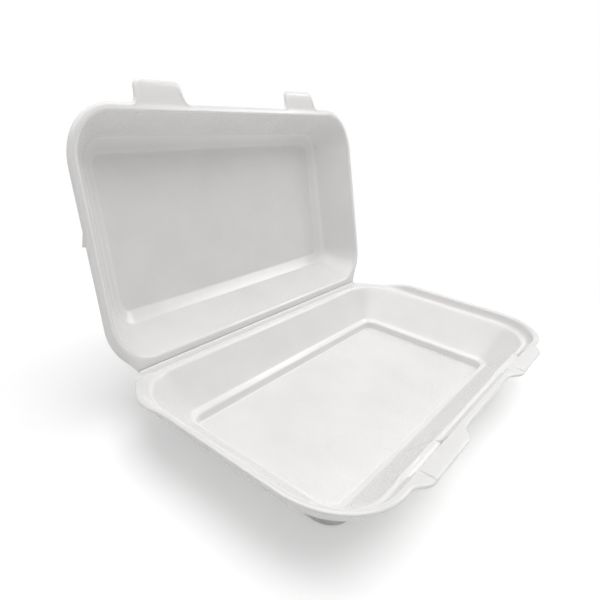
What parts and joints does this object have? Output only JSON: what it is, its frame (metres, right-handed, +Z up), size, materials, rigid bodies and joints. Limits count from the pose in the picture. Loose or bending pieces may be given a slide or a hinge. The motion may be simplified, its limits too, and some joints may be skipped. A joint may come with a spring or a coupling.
{
  "type": "foam clamshell container",
  "caption": "Open white foam clamshell food container: a rectangular tray with a raised lip and latch tabs, and a lid hinged along a pressed crease.",
  "frame": {"origin": "the middle of the tray's flat underside, where the box stands on a table", "axes": "+X along the crease, +Y from the latch tabs at the front to the crease at the back, +Z up; the lid is stored standing open as in the picture"},
  "size_m": [0.24, 0.1879, 0.1538],
  "materials": {
    "foam": "satin"
  },
  "bodies": {
    "base": {"base_tray": "foam"},
    "lid": {"lid": "foam"}
  },
  "joints": [
    {"name": "lid_crease", "type": "hinge", "parent": "base", "child": "lid", "pos_m": [0, 0.0637, 0.0267], "axis": [-1, 0, 0], "range_deg": [-103.7, 73.3]}
  ]
}
